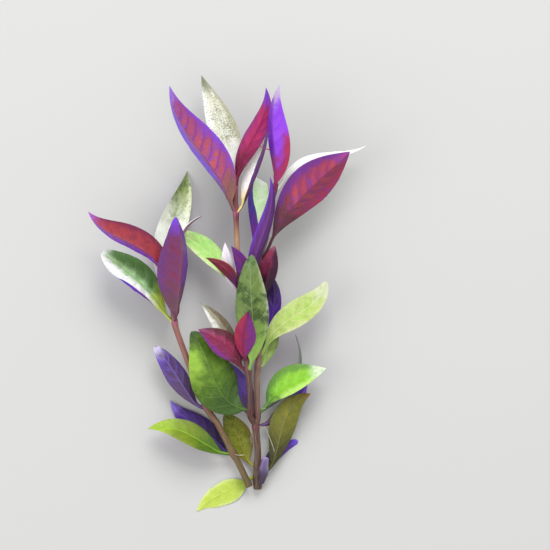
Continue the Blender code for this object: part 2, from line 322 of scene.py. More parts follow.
def stem_skin(name, stops, low_joint, high_joint):
    """A stem's skin: its colours from foot to tip, fine streaks and reddened joints."""
    surface, tree, shader = new_surface(name)
    ramp = tree.nodes.new("ShaderNodeValToRGB")
    for share, code in stops[1:-1]:
        ramp.color_ramp.elements.new(share)
    for element, (share, code) in zip(ramp.color_ramp.elements, stops):
        element.position = share
        element.color = paint(code)
    lengthways = kept_on_piece(tree, "lengthways")
    tree.links.new(lengthways.socket, ramp.inputs[0])
    around = kept_on_piece(tree, "around", output="Vector").parts()
    streak_place = join_numbers(around[0] * 5, around[1] * 5,
                                kept_on_piece(tree, "place_mm") * 0.12)
    streaks = noise(tree, streak_place, 1.0, 4.0, 0.6)
    shade = mix_colours(tree, streaks.rise(0.42, 0.75) * 0.45, Field(ramp.outputs[0]),
                        paint("c8a088"))
    shade = mix_colours(tree, (1 - streaks.rise(0.25, 0.48)) * 0.6, shade, paint("2a120e"))
    joint_share = kept_on_piece(tree, "closeness") ** 3
    joint_colour = mix_colours(tree, lengthways.rise(0.2, 0.6), paint(low_joint), paint(high_joint))
    shade = mix_colours(tree, joint_share * 0.45, shade, joint_colour)
    tree.links.new(shade.socket, shader.inputs["Base Color"])
    bump = add_node(tree, "ShaderNodeBump", 0.6, 0.0002, None, streaks)
    tree.links.new(bump.socket, shader.inputs["Normal"])
    set_inputs(shader, {"Roughness": 0.38, "Subsurface Weight": 0.15,
                        "Subsurface Radius": (1.0, 0.4, 0.3), "Subsurface Scale": 0.0006})
    return surface


def cut_end_surface():
    """The wet, pale core that shows where a stem was cut, darker in rings."""
    surface, tree, shader = new_surface("cut_core")
    grain = noise(tree, add_node(tree, "ShaderNodeTexCoord", output="Object"), 1800.0, 3.0)
    shade = mix_colours(tree, grain.rise(0.4, 0.65), paint("b9b487"), paint("7f7a4c"))
    tree.links.new(shade.socket, shader.inputs["Base Color"])
    set_inputs(shader, {"Roughness": 0.3})
    return surface


def line_along(name, route):
    """A starting mesh: the points of a route, joined in their order."""
    line = bpy.data.meshes.new(name)
    pairs = [(i, i + 1) for i in range(len(route) - 1)]
    line.from_pydata([Vector(point) * MM for point in route], pairs, [])
    return line


def grow_stem(node, route, joints, radius, skin, seed):
    """One stem along its route, in place of its solid."""
    line = line_along(node + "_fine", route)
    girth = line.attributes.new("girth", "FLOAT", "POINT")
    joint = line.attributes.new("joint", "FLOAT", "POINT")
    for i in range(len(route)):
        girth.data[i].value = radius * (1 - (1 - TIP_TAPER) * i / (len(route) - 1)) * MM
        joint.data[i].value = 1.0 if i in joints else 0.0
    piece = made_by(stem_tree, node + "_fine", line, {
        "Seed": seed, "Skin": skin, "Cut face": cut_core})
    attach(piece, "root")
    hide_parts(node)


stem_tree = jointed_stem_tree()
cut_core = cut_end_surface()
left_stem_skin = stem_skin("left_stem_skin", [
    (0.0, "584626"), (0.16, "66582e"), (0.30, "6e5634"), (0.42, "805848"), (0.62, "905e56"),
    (0.80, "8c5450"), (1.0, "7c4c48")], "7a4c44", "b45480")
grow_stem("left_stem", LEFT_STEM, LEFT_STEM_JOINTS, STEM_RADIUS, left_stem_skin, 1.0)

# Main stem and its two branches
# The other stem is a dark brown trunk that forks 29 mm above its cut foot. Its branches grow out
# of one joint: a pale brown one to the right-hand tips, and one to the left-hand tips that is dark
# red at its foot and tan higher up.
TRUNK_RADIUS = 1.5
BRANCH_RADIUS = 1.25
MAIN_STEM = [
    (11.8, -79.0, 2.0), (11.8, -77.0, 2.2), (11.6, -73.6, 2.6), (11.8, -70.0, 3.2),
    (11.8, -62.0, 4.8), (11.0, -53.6, 7.0), (11.0, -51.2, 7.6)]
MAIN_STEM_JOINTS = (1, 2, 3, 5)
FORK = (10.6, -50.2, 8.2)
RIGHT_BRANCH = [
    (11.8, -49.9, 7.6), (11.7, -48.2, 7.9), (11.5, -35.0, 11.3), (11.9, -30.0, 12.7),
    (12.2, -25.2, 13.6), (11.8, -14.0, 14.0), (11.6, -2.8, 14.0), (12.4, 12.4, 15.0),
    (15.2, 26.0, 17.0), (18.6, 41.2, 19.0), (19.2, 44.4, 19.4)]
RIGHT_BRANCH_JOINTS = (1, 3, 4, 6, 7, 9)
RIGHT_BRANCH_START = (11.3, -52.4, 7.3)
LEFT_BRANCH = [
    (8.9, -49.4, 9.7), (9.0, -47.0, 10.6), (8.8, -39.0, 13.6), (8.0, -31.2, 16.0),
    (7.7, -27.0, 16.4), (6.2, -12.8, 17.5), (5.0, 1.2, 18.5), (3.8, 17.2, 20.0),
    (3.2, 32.0, 21.0), (3.0, 42.4, 22.0), (3.2, 45.2, 22.3)]
LEFT_BRANCH_JOINTS = (1, 3, 4, 6, 8, 9)
LEFT_BRANCH_START = (10.6, -52.4, 7.6)

main_stem_skin = stem_skin("main_stem_skin", [
    (0.0, "44341f"), (0.4, "4a3626"), (0.75, "54342a"), (1.0, "54302c")], "4c3424", "7c2c48")
grow_stem("main_stem", [*MAIN_STEM, FORK], MAIN_STEM_JOINTS, TRUNK_RADIUS,
          main_stem_skin, 2.0)

right_branch_skin = stem_skin("right_branch_skin", [
    (0.0, "54302c"), (0.07, "7c5c54"), (0.25, "8c6c60"), (0.5, "6e5a3c"), (0.75, "5a2c58"),
    (1.0, "5a2a5c")], "6c4040", "8a3c60")
grow_stem("right_branch", [RIGHT_BRANCH_START, *RIGHT_BRANCH],
          [i + 1 for i in RIGHT_BRANCH_JOINTS], BRANCH_RADIUS, right_branch_skin, 3.0)

left_branch_skin = stem_skin("left_branch_skin", [
    (0.0, "4c2828"), (0.12, "40222a"), (0.28, "5c3438"), (0.5, "a07858"), (0.76, "b08868"),
    (0.84, "6c2834"), (1.0, "6a2438")], "54202c", "b85888")
grow_stem("left_branch", [LEFT_BRANCH_START, *LEFT_BRANCH],
          [i + 1 for i in LEFT_BRANCH_JOINTS], BRANCH_RADIUS, left_branch_skin, 4.0)

# Leaves of the left stem
# Each joint carries a pair of soft, lance-shaped leaves on short stalks that grow out of the stem.
# A blade is a thin folded sheet with a raised midrib below, curved side veins and a wavy margin:
# green above, with white painted where strong light falls on it, and red and violet below, with the
# margins' blue-violet partly a painted glow of light through the rim.
STALK_SHARE = 0.07
STALK_HALF_WIDTH = 0.7
STALK_HALF_THICKNESS = 0.5
FOOT_GAP = 0.3
ROOTED_SHARE = 0.14
BLADE_FULLNESS = 0.95
WIDEST_SHARE = 0.47
CROWN = 0.3
CREASE = 0.7
CURL_START = 0.68
FLANK_HALF_THICKNESS = 0.16
MIDRIB_HEIGHT = 0.36
MIDRIB_WIDTH = 0.45
ROWS_PER_MM = 2.2
COLUMNS = 41
EVEN_COLUMNS = 0.3
SEAM_GAP = 0.002
VEIN_SPACING = 5.0
VEIN_LEAN = 0.16
VEIN_OFFSET = 0.35
TEARS_ALONG = 22
RIPPLES_ALONG = 7
ROOT_DEPTH = 0.45
UPPER = 0.0
UNDER = 1.0


def place_on_midrib(given, t):
    """The midrib's place and direction at t, on the curve that its four points give."""
    points = [given[name] for name in ("Foot", "Bend near foot", "Bend near tip", "Tip")]
    while len(points) > 2:
        points = [a + (b - a) * t for a, b in zip(points, points[1:])]
    place = points[0] + (points[1] - points[0]) * t
    slope = (points[1] - points[0]) * 3
    inward = given["Root"] - given["Foot"]
    settling = (1 - t / ROOTED_SHARE).work("MAXIMUM", 0)
    place = place + inward * settling ** 2
    slope = slope - inward * (settling * 2 / ROOTED_SHARE)
    return place, slope.work("NORMALIZE")


def leaf_blade_tree():
    """One leaf, from where its stalk leaves the stem to the point of its blade."""
    tree, given = new_shape_tree("Leaf blade", {
        "Root": (0.0, 0.0, 0.0), "Foot": (0.0, 0.0, 0.0), "Bend near foot": (0.0, 0.01, 0.0),
        "Bend near tip": (0.0, 0.02, 0.0), "Tip": (0.0, 0.03, 0.0), "Width": 12 * MM,
        "Widest at": WIDEST_SHARE, "Stalk": STALK_SHARE, "Blunt": 0.0, "Roll": 0.0, "Twist": 0.0,
        "Fold": 0.3, "Curl": 0.0, "Left margin curl": 0.0, "Right margin curl": 0.0,
        "Underside up": UPPER, "Rows": 60, "Columns": COLUMNS, "Vein pairs": 8.0,
        "Quilting": 0.15 * MM, "Ripple": 0.5 * MM, "Ragged": 0.03, "Seed": 0.0,
        "Shown face": None, "Other face": None})
    sheet = add_node(tree, "GeometryNodeMeshGrid", 2.0, 1.0, given["Columns"], given["Rows"])
    u, v, _ = add_node(tree, "GeometryNodeInputPosition").parts()
    t = v + 0.5
    side = u.work("SIGN")
    even = abs(u)
    outward = (even * EVEN_COLUMNS
               + (1 - (even * math.pi).work("COSINE")) * ((1 - EVEN_COLUMNS) / 2))
    across = side * outward

    share = ((t - given["Stalk"]) / (1 - given["Stalk"])).work("MAXIMUM", 0)
    skew = add_node(tree, "ShaderNodeMath", 0.5, given["Widest at"], operation="LOGARITHM")
    bulge = ((share ** skew) * math.pi).work("SINE").work("MAXIMUM", 0)
    fullness = (1 - given["Blunt"] * share ** 2) * BLADE_FULLNESS
    ragged_place = join_numbers(t * TEARS_ALONG, side * 7, given["Seed"])
    torn = (noise(tree, ragged_place, 1.0) - 0.55) * 2 * given["Ragged"] * t.rise(0.3, 0.7)
    oval = bulge ** fullness * given["Width"] * 0.5 * (1 + torn)
    stalk = (1 - share) * (STALK_HALF_WIDTH * MM)
    reach = (oval ** 2 + stalk ** 2) ** 0.5
    spread = reach * outward

    place, along = place_on_midrib(given, t)
    up = (join_numbers(t * 0, 0.0, 1.0) - along * along.parts()[2]).work("NORMALIZE")
    right = along.work("CROSS_PRODUCT", up)
    roll = given["Roll"] + given["Twist"] * (1 - t) ** 2
    normal = up * roll.work("COSINE") + right * roll.work("SINE")
    sideways = right * roll.work("COSINE") - up * roll.work("SINE")
    stalk_part = 1 - t.rise(STALK_SHARE * 0.6, STALK_SHARE * 2)
    turn = given["Fold"] * (1 + CROWN - outward * CROWN) + given["Curl"] * outward * 0.5
    turn = turn * (1 - stalk_part)
    out_way = sideways * (side * turn.work("COSINE")) + normal * turn.work("SINE")
    lean_in = side * turn.work("SINE") * outward.rise(0.0, CREASE)
    up_way = (normal * turn.work("COSINE") - sideways * lean_in).work("NORMALIZE")

    margin_curl = (given["Left margin curl"] * u.work("LESS_THAN", 0)
                   + given["Right margin curl"] * u.work("GREATER_THAN", 0))
    margin_curl = margin_curl * bulge.rise(0.1, 0.8) * (1 - t.rise(0.5, 0.85)) + 0.001
    curl_width = (1 - CURL_START) / margin_curl
    curled = (outward - CURL_START).work("MAXIMUM", 0) / curl_width
    flat_part = outward.work("MINIMUM", CURL_START)
    out_reach = (flat_part + curled.work("SINE") * curl_width) * reach
    up_reach = (1 - curled.work("COSINE")) * curl_width * reach
    spot = place + out_way * out_reach + up_way * up_reach
    facing = up_way * curled.work("COSINE") - out_way * curled.work("SINE")

    hollow_side = 1 - given["Underside up"] * 2
    lean = (outward * 0.4 + outward ** 2 * 0.6) * VEIN_LEAN
    phase = (t - lean) * given["Vein pairs"] + u.work("GREATER_THAN", 0) * VEIN_OFFSET
    pillow = (phase * math.pi).work("SINE").work("ABSOLUTE") ** 0.7 - 0.5
    inside = outward.rise(0.0, 0.25) * (1 - outward.rise(0.7, 1.0)) * bulge.rise(0.0, 0.6)
    wave_place = join_numbers(t * RIPPLES_ALONG, side * 3, given["Seed"] + 3)
    wave = (noise(tree, wave_place, 1.0) - 0.5) * 2 * given["Ripple"]
    relief = pillow * inside * given["Quilting"] * hollow_side + wave * outward ** 2 * bulge
    spot = spot + facing * relief

    ends = (t * 100).work("MINIMUM", 1) * ((1 - t) * 30).work("MINIMUM", 1)
    edge = (1 - outward ** 2).work("MAXIMUM", 0) ** 0.5
    flank = stalk_part * ((STALK_HALF_THICKNESS - FLANK_HALF_THICKNESS) * MM)
    flank = (flank + FLANK_HALF_THICKNESS * MM) * edge * ends
    rib_shape = ((spread / (MIDRIB_WIDTH * MM)) ** 2 * -1).work("EXPONENT") * (1 - t * 0.8)
    rib = rib_shape * edge * ends * (1 - stalk_part) * (MIDRIB_HEIGHT * MM)
    shown_thick = flank + rib * given["Underside up"]
    other_thick = flank + rib * (1 - given["Underside up"])
    x, y, z = spot.parts()
    spot = join_numbers(x, y, z.work("MAXIMUM", other_thick))

    blade_place = join_numbers(across * reach / MM, t * given["Rows"] / ROWS_PER_MM, given["Seed"])
    sheet = keep(sheet, "blade_mm", blade_place, "FLOAT_VECTOR")
    sheet = keep(sheet, "along", t)
    sheet = keep(sheet, "across", across)
    sheet = keep(sheet, "vein_phase", phase)
    # Each half is cut so that no triangle at a corner of the foot has all its points on the
    # margin, where both faces would share it.
    left_half = u.work("LESS_THAN", 0)
    sheet = add_node(tree, "GeometryNodeTriangulate", sheet, left_half, quad_method="FIXED")
    sheet = add_node(tree, "GeometryNodeTriangulate", sheet, quad_method="FIXED_ALTERNATE")
    shown = add_node(tree, "GeometryNodeSetPosition", sheet, None, spot + facing * shown_thick)
    other = add_node(tree, "GeometryNodeSetPosition", sheet, None, spot - facing * other_thick)
    other = add_node(tree, "GeometryNodeFlipFaces", other)
    shown = add_node(tree, "GeometryNodeSetMaterial", shown, None, given["Shown face"])
    other = add_node(tree, "GeometryNodeSetMaterial", other, None, given["Other face"])
    shape = add_node(tree, "GeometryNodeJoinGeometry", [shown, other])
    shape = add_node(tree, "GeometryNodeMergeByDistance", shape, None, SEAM_GAP * MM)
    shape = add_node(tree, "GeometryNodeSetShadeSmooth", shape, None, True)
    end_tree(tree, add_node(tree, "GeometryNodeRealizeInstances", shape))
    return tree


def leaf_face(name, field, heart=None, hearts=1.0, left=None, left_from=0.5, left_after=0.0,
              left_until=1.0, right=None, right_from=0.5, right_after=0.0, right_until=1.0,
              foot=None, foot_reach=0.3, tip=None, tip_start=0.85, vein=None, veins=0.4,
              rib=None, ribs=0.6, patch=None, patches=0.0, patch_grain=0.6, patch_cover=0.5,
              value=0.52):
    """One face of a blade. Left and right are its margins, looking from its foot to its tip.

    left_from and right_from are where the margins' colours start, 0 at the midrib and 1 at the
    margin, and the after and until values are between which shares of the length they show.
    foot_reach and tip_start are how far the foot's colour reaches and where the tip's
    starts. hearts, veins, ribs and patches are how strongly those colours show, patch_grain how
    fine the patches are, patch_cover how much they cover, and value how light the whole face is.
    """
    surface, tree, shader = new_surface(name)
    along = kept_on_piece(tree, "along")
    across = kept_on_piece(tree, "across")
    blade = kept_on_piece(tree, "blade_mm", output="Vector")
    outward = abs(across)
    wander = noise(tree, blade, 0.22) - 0.5
    mottle = noise(tree, blade, patch_grain, 4.0, 0.62)

    phase = kept_on_piece(tree, "vein_phase") + wander * 0.35
    cell = phase.work("FLOOR")
    gone = phase - cell
    luck = add_node(tree, "ShaderNodeTexWhiteNoise", join_numbers(cell, across.work("SIGN"), 0.5))
    side_vein = 1 - phase.work("PINGPONG", 0.5).rise(0.0, 0.06)
    side_vein = side_vein * (1 - outward.rise(0.6, 0.95)) * (1 - along.rise(0.85, 1.0))
    midrib = 1 - abs(blade.parts()[0]).rise(0.06, 0.34)
    net = add_node(tree, "ShaderNodeTexVoronoi", blade + wander * 0.6, 0.85,
                   feature="DISTANCE_TO_EDGE")
    net = (1 - net.rise(0.0, 0.10)) * (1 - along.rise(0.9, 1.0))

    from_middle = abs(gone - 0.45) * 2.0 + wander * 0.9 + (mottle - 0.5) * 0.7
    heart_share = (1 - from_middle.rise(0.15, 1.0)) * (luck * 0.8 + 0.4)
    heart_share = heart_share * (1 - (outward + wander * 0.6).rise(0.3, 0.9)) * hearts
    shade = mix_colours(tree, heart_share, paint(field), paint(heart or field))
    for on_side, start, after, until, code in (
            ("LESS_THAN", left_from, left_after, left_until, left),
            ("GREATER_THAN", right_from, right_after, right_until, right)):
        if code:
            margin = (outward + wander * 0.5 + (gone - 0.5) * 0.1).rise(start, start + 0.45)
            margin = margin * across.work(on_side, 0)
            if after > 0:
                margin = margin * (along + wander * 0.3).rise(after - 0.12, after + 0.12)
            if until < 1:
                margin = margin * (1 - (along + wander * 0.3).rise(until - 0.12, until + 0.12))
            shade = mix_colours(tree, margin, shade, paint(code))
    if tip:
        tip_share = (along + wander * 0.2 - outward * 0.06).rise(tip_start - 0.1, tip_start + 0.1)
        shade = mix_colours(tree, tip_share, shade, paint(tip))
    if patch:
        patched = mottle + wander * 0.3 + (luck - 0.5) * 0.12 + (patch_cover - 0.5) * 0.3
        patched = patched.rise(0.45, 0.68) * patches
        shade = mix_colours(tree, patched, shade, paint(patch))
    if foot:
        foot_end = along + wander * 0.3 + (mottle - 0.5) * 0.15
        foot_share = 1 - foot_end.rise(foot_reach * 0.45, foot_reach * 1.15)
        shade = mix_colours(tree, foot_share * 0.95, shade, paint(foot))
    if vein:
        vein_share = side_vein.work("MAXIMUM", net * 0.35) * veins
        shade = mix_colours(tree, vein_share, shade, paint(vein))
    shade = mix_colours(tree, midrib * (1 - along.rise(0.7, 1.0)) * ribs, shade,
                        paint(rib or vein or field))
    fine = noise(tree, blade, 2.6, 4.0, 0.7)
    lightness = fine * 0.65 + luck * 0.1 + value
    shade = add_node(tree, "ShaderNodeHueSaturation", 0.5, 1.0, lightness, 1.0, shade)
    tree.links.new(shade.socket, shader.inputs["Base Color"])

    height = side_vein * 0.4 + net * 0.25 + fine * 0.25
    bump = add_node(tree, "ShaderNodeBump", 0.5, 0.0002, None, height)
    tree.links.new(bump.socket, shader.inputs["Normal"])
    tree.links.new((fine * 0.25 + 0.3).socket, shader.inputs["Roughness"])
    set_inputs(shader, {"Subsurface Weight": 0.12, "Subsurface Radius": (1.0, 0.5, 0.5),
                        "Subsurface Scale": 0.0005, "Specular IOR Level": 0.3,
                        "Coat Weight": 0.05, "Coat Roughness": 0.35})
    return surface


def joint_of(route, joints, radius):
    """Each joint's place, its girth, and the way that is to the right of the stem there."""
    found = []
    for index in joints:
        onward = Vector(route[min(index + 1, len(route) - 1)]) - Vector(route[index - 1])
        girth = radius * (1 - (1 - TIP_TAPER) * index / (len(route) - 1)) * (1 + JOINT_SWELL)
        found.append((Vector(route[index]), girth, onward.cross(Vector((0, 0, 1))).normalized()))
    return found


def grow_leaf(node, joint, clock, length, heading, bows, heights, width, roll, fold, up,
              shown, other=None, widest=WIDEST_SHARE, stalk=STALK_SHARE, blunt=0.0, twist=0,
              curl=0, margin_curls=(0, 0), ripple=0.5, ragged=0.03):
    """One leaf in place of its solid.

    clock is where round the stem it grows, 0 at the right and 90 on top. bows are how far the
    midrib bends left near the foot and near the tip, and heights its height there and at the tip.
    up is the side that faces up, shown is its face, and other is the face below it, which is
    plain green or plain violet unless it is given.
    """
    here, girth, right = joint
    angle = math.radians(clock)
    outwards = right * math.cos(angle) + Vector((0, 0, 1)) * math.sin(angle)
    foot = here + outwards * (girth + FOOT_GAP + STALK_HALF_WIDTH)
    course = math.radians(heading)
    ahead = Vector((math.cos(course), math.sin(course), 0))
    left = Vector((-ahead.y, ahead.x, 0))
    tip = here + ahead * length
    tip.z = heights[2]
    bends = []
    for share, bow, height in zip((1 / 3, 2 / 3), bows, heights):
        bend = foot.lerp(tip, share) + left * bow
        bend.z = height
        bends.append(bend)
    folded = -1 if up == UNDER else 1
    other = other or (green_above if up == UNDER else violet_below)
    start = bpy.data.meshes.new(node + "_fine")
    piece = made_by(leaf_tree, node + "_fine", start, {
        "Root": (here + outwards * girth * ROOT_DEPTH) * MM, "Foot": foot * MM,
        "Bend near foot": bends[0] * MM, "Bend near tip": bends[1] * MM, "Tip": tip * MM,
        "Width": width * MM, "Widest at": widest, "Stalk": stalk, "Blunt": float(blunt),
        "Roll": math.radians(roll), "Twist": math.radians(twist),
        "Fold": folded * math.radians(fold), "Curl": folded * math.radians(curl),
        "Left margin curl": math.radians(margin_curls[0]),
        "Right margin curl": math.radians(margin_curls[1]), "Underside up": up,
        "Rows": int(length * ROWS_PER_MM), "Vein pairs": length / VEIN_SPACING,
        "Ripple": ripple * MM, "Ragged": ragged, "Seed": float(len(node) + clock + length),
        "Shown face": shown, "Other face": other})
    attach(piece, "root")
    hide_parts(node)


leaf_tree = leaf_blade_tree()
green_above = leaf_face(
    "green_above", "5d6f38", heart="6c8040", left="6a4a50", left_from=0.7, right="6a4a50",
    right_from=0.7, foot="7a6a50", tip="5c6040", vein="8c9660", veins=0.3)
violet_below = leaf_face(
    "violet_below", "6a2a9a", heart="8a3468", left="6a38c0", right="6a38c0", foot="6a3050",
    tip="8a50c8", vein="5a1c60", veins=0.3)
blue_violet_below = leaf_face(
    "blue_violet_below", "5430c0", heart="4c28a8", left="5434d0", right="5c30d0", foot="7c2c98",
    foot_reach=0.6, tip="4a30a8", vein="382080", veins=0.3)
A = "left_stem_leaf_"
a1, a2, a3, a4 = joint_of(LEFT_STEM, LEFT_STEM_JOINTS, STEM_RADIUS)
lime = leaf_face(
    "lime_above", "7c8e1c", left="84981e", left_from=0.6, right="70841e", right_from=0.6,
    foot="4c7012", foot_reach=0.5, tip="a8c83c", tip_start=0.7, vein="94c03c", veins=0.35,
    rib="9cd048", patch="68902c", patches=0.3, heart="86a022")
grow_leaf(A + "1", a1, 160, 35.5, 164, (-0.8, -7.7), (8, 9, 7), 10.6, 30, 15, UPPER,
          lime)
deep_violet = leaf_face(
    "deep_violet_below", "5c3a98", heart="4c2c80", left="6844b4", right="442870", foot="3c2454",
    foot_reach=0.6, tip="8c70d4", vein="6a54c0", veins=0.3, tip_start=0.82)
grow_leaf(A + "2", a1, 215, 33, 140, (-3, 3), (2.6, 1.8, 1), 10, 0, 10, UNDER,
          deep_violet, widest=0.42)
white_tipped_violet = leaf_face(
    "white_tipped_violet_below", "6e50b8", heart="4c2c5c", left="7450c4", right="5c409c",
    foot="5c4468", foot_reach=0.75, tip="d8d0f0", tip_start=0.84, vein="8c78d0", veins=0.3,
    patch="4a3468", patches=0.8, patch_grain=0.28, patch_cover=0.6)
grow_leaf(A + "3", a2, 180, 32.5, 130.5, (1, -1.5), (9, 10, 9), 8.9, 5, 18, UNDER,
          white_tipped_violet, widest=0.5, blunt=0.45)
grow_leaf(A + "4", a2, 320, 17, 82, (0, 0), (5, 2.5, 0), 8, 0, 12, UPPER,
          green_above)
# Painted light and shade: the white left half stands for the half of the fold that faces the light,
# the dark green right half for the half in shade.
lit_and_shaded_green = leaf_face(
    "banded_green_above", "a8d090", left="fcfffc", left_from=0.0, right="4c7a30", right_from=0.0,
    foot="b8cc48", foot_reach=0.38, tip="f0f6ee", tip_start=0.95, vein="d0e8c8", veins=0.15,
    rib="3c5c2c", ribs=0.35, patch="2e4a1c", patches=0.35, value=0.62, patch_grain=0.4)
grow_leaf(A + "5", a3, 165, 40.5, 136, (-5.5, -1.2), (13.5, 12.5, 11), 15.2, 32, 13,
          UPPER, lit_and_shaded_green, blue_violet_below, widest=0.55, blunt=0.45, margin_curls=(150, 20))
mauve_red = leaf_face(
    "mauve_red_below", "7c3e74", heart="863450", left="74408c", right="7c38b0", right_from=0.1,
    foot="6c4858", foot_reach=0.35, tip="8248ec", tip_start=0.86, vein="8c3c50", veins=0.45,
    rib="a04c68", ribs=0.5, hearts=0.8, patch="6c3060", patches=0.4, patch_grain=0.35)
grow_leaf(A + "6", a3, 80, 42, 89, (-1.2, -4.6), (20, 25, 28), 19, 38, 38, UNDER,
          mauve_red, widest=0.46, stalk=0.05, blunt=0.3)
grow_leaf(A + "7", a3, 270, 28, 93, (0, 0), (9, 4, 0), 7, 0, 15, UPPER,
          green_above)
# Partly painted light: the blue-violet left margin is the underside's own colour made brighter, as
# a painted glow of light through the rim.
red_violet_edged = leaf_face(
    "red_violet_edged_below", "a83844", heart="a83840", left="9848e0", left_from=0.0,
    right="7c2850", right_from=0.55, foot="8a1a28", foot_reach=0.25, tip="b060d0", tip_start=0.88,
    vein="7c2038", veins=0.4, rib="8c2c80", ribs=0.5, patch="7c2848", patches=0.6, hearts=0.6)
grow_leaf(A + "8", a4, 150, 46.5, 135.5, (-16, 5), (21.5, 21.5, 21), 14.2, -36, 36,
          UNDER, red_violet_edged)
# Painted light: the near-white foot stands for strong light on the upper face, and the raised value
# makes up for the shade that the leaves above cast on it.
olive_to_white = leaf_face(
    "olive_to_white_above", "8c9e4e", heart="9cae5e", left="647c38", left_from=0.35,
    right="dce8b4", right_from=0.3, foot="fcfef8", foot_reach=0.78, tip="7c8c60", tip_start=0.88,
    vein="dce4c8", veins=0.15, rib="c8d4a8", ribs=0.3, patch="4a6222", patches=0.75,
    patch_grain=0.7, value=0.7, patch_cover=0.58)
grow_leaf(A + "9", a4, 200, 49.5, 83, (10, -2.3), (11.5, 6, 0), 12.7, 15, 20, UPPER,
          olive_to_white)
# Painted highlight: this near-white face, made lighter still by its value, stands for strong light
# falling on the upper face.
white_above = leaf_face(
    "white_above", "f6f4f2", left="fbf8fa", right="f0ecf0", foot="fcf4f2", foot_reach=0.1,
    tip="ecece8", vein="e4e0e4", veins=0.2, ribs=0.2, value=0.7, patch="e0dce0", patches=0.4,
    patch_grain=1.5)
rose_below = leaf_face(
    "rose_below", "b88cac", heart="a87c94", left="c8a4c8", right="a8709c", foot="8a3c50",
    foot_reach=0.55, tip="6c1c28", tip_start=0.86, vein="8c5878", veins=0.3)
grow_leaf(A + "10", a4, 340, 33.5, 68, (1, 10.6), (14.4, 15, 14.6), 7, -84, 22,
          UPPER, white_above, rose_below)

# Leaves of the main stem
# Old leaves stand round the trunk's foot: one lies flat on the table, torn near its tip, a small
# one is rolled up in front of the trunk, and the others lean out to its left and right.
M = "main_stem_leaf_"
m1, m2, m3, m4 = joint_of(MAIN_STEM, MAIN_STEM_JOINTS, TRUNK_RADIUS)
faded_mauve = leaf_face(
    "faded_mauve_below", "8a78a8", heart="7a6898", left="5c4c74", right="a090bc", foot="4a3c50",
    foot_reach=0.6, tip="a898c4", vein="5c4e68", veins=0.3)
grow_leaf(M + "1", m1, 60, 11.8, 74, (0, 0), (7.4, 7.8, 7), 5.4, 0, 25, UNDER,
          faded_mauve, widest=0.38, stalk=0.03, blunt=0.9, curl=30)
pale_lime = leaf_face(
    "pale_lime_above", "cce060", heart="c0d850", left="e0f098", left_from=0.6, right="e4f4a4",
    right_from=0.6, foot="a8c040", foot_reach=0.35, tip="dcec80", vein="d4e878", veins=0.35,
    rib="b0c848", ribs=0.4, patch="b8cc4c", patches=0.3)
grow_leaf(M + "2", m2, 215, 28.5, 211, (2.5, -3), (0.3, 0, 0), 9.8, 0, 0,
          UPPER, pale_lime, widest=0.38, stalk=0.13, ragged=0.2)
olive_brown_tip = leaf_face(
    "olive_brown_tip_below", "80802c", heart="8c8c2c", left="747830", right="808030",
    foot="3c3c1c", foot_reach=0.6, tip="90602c", tip_start=0.93, vein="a0a048", veins=0.35,
    rib="94944c", ribs=0.4, patch="5c6028", patches=0.45)
grow_leaf(M + "3", m2, 10, 39.5, 57, (-3.2, 10.5), (5.5, 8.5, 9), 11, 10, 15, UNDER,
          olive_brown_tip, widest=0.56, blunt=0.1)
plain_violet = leaf_face(
    "plain_violet_below", "6a42ac", heart="603890", left="6e46b8", right="5c38a0", foot="40303c",
    tip="7450d8", vein="6c44cc", veins=0.3, foot_reach=0.45)
grow_leaf(M + "4", m2, 325, 21.6, 40, (4, 3.5), (0.8, 0.5, 0), 5.2, 0, 6, UNDER,
          plain_violet, blunt=0.6)
olive_striped = leaf_face(
    "olive_striped_below", "848c26", heart="949c2c", left="6a7420", right="8a7c28", foot="8a8228",
    tip="5c7428", tip_start=0.9, vein="b8b43c", veins=0.6, rib="a8a038", ribs=0.5,
    patch="4a5418", patches=0.75)
grow_leaf(M + "5", m3, 195, 25, 123, (0.3, -2.6), (1.5, 0.9, 0), 10.6, 0, 8, UNDER,
          olive_striped, widest=0.52, blunt=0.35)
# Painted light: this violet is lighter than the blades' own colour, to make up for the shade that
# the leaves above cast on them.
brown_stalked_violet = leaf_face(
    "brown_stalked_violet_below", "8462d0", heart="7c5cc4", left="9478d8", right="6c4cb8",
    foot="64483c", foot_reach=0.4, tip="8460dc", vein="6c4cc0", veins=0.3)
grow_leaf(M + "6", m4, 320, 27, 39, (-4, -2), (3.5, 3, 3), 7.5, 0, 10, UNDER,
          brown_stalked_violet)
grow_leaf(M + "7", m4, 235, 33.5, 120, (-6, -2), (6, 8, 10), 10, 10, 15, UNDER,
          brown_stalked_violet)

# Leaves of the right branch
# The right branch has one of the two longest leaves, seen from its red and violet underside, a
# bright violet one at its tip, and upper faces turned almost edge-on to the viewer, painted white
# where strong light falls on them.
R = "right_branch_leaf_"
r1, r2, r3, r4, r5, r6 = joint_of(RIGHT_BRANCH, RIGHT_BRANCH_JOINTS, BRANCH_RADIUS)
bright_green = leaf_face(
    "bright_green_above", "9cdc3c", heart="90cc34", left="68983a", left_from=0.3, right="c4f078",
    right_from=0.35, foot="4a7c2c", foot_reach=0.3, tip="e8f8d8", tip_start=0.8, vein="a4e070",
    veins=0.4, rib="a0dc6c", ribs=0.4, patch="70ac34", patches=0.35)
grow_leaf(R + "1", r1, 5, 33, 33, (7.2, 2.4), (9.6, 10, 10.5), 13.6, -30, 22, UPPER,
          bright_green, widest=0.46, stalk=0.1)
grey_green = leaf_face(
    "grey_green_above", "78846c", heart="6c7864", left="8c9880", right="64705c", foot="808a74",
    tip="a8b4a0", vein="98a490", veins=0.2)
grow_leaf(R + "2", r1, 325, 35.4, 64.7, (-6, -11.3), (5, 4.5, 5), 5.5, 70, 10, UPPER,
          grey_green)
